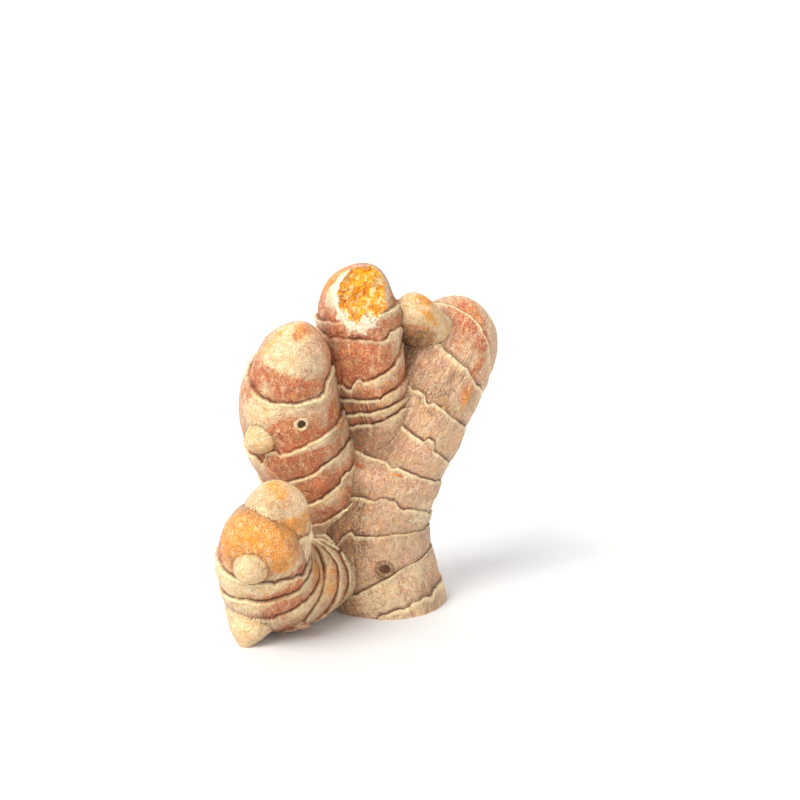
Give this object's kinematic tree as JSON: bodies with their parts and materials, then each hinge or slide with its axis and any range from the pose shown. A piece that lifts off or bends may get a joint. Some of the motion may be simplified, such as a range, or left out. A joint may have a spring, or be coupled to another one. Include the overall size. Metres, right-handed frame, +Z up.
{
  "type": "turmeric root",
  "caption": "Fresh turmeric rhizome: an upright ringed trunk with stout fingers, a low bulb and buds, broken open at one fingertip to show orange flesh.",
  "frame": {"origin": "centre of the flat broken base of the trunk, on the surface it stands on", "axes": "+Z up along the trunk, -Y towards the front where the low finger bends forward, +X towards the side where the trunk's top end leans"},
  "size_m": [0.0639, 0.0703, 0.0828],
  "materials": {
    "skin": "thin dry tan skin with leaf-scale rings, pinkish-orange bands and cream ragged edges, matte to faintly waxy; raw orange flesh where a fingertip is broken"
  },
  "bodies": {
    "root": {"rhizome": "skin"}
  },
  "joints": []
}
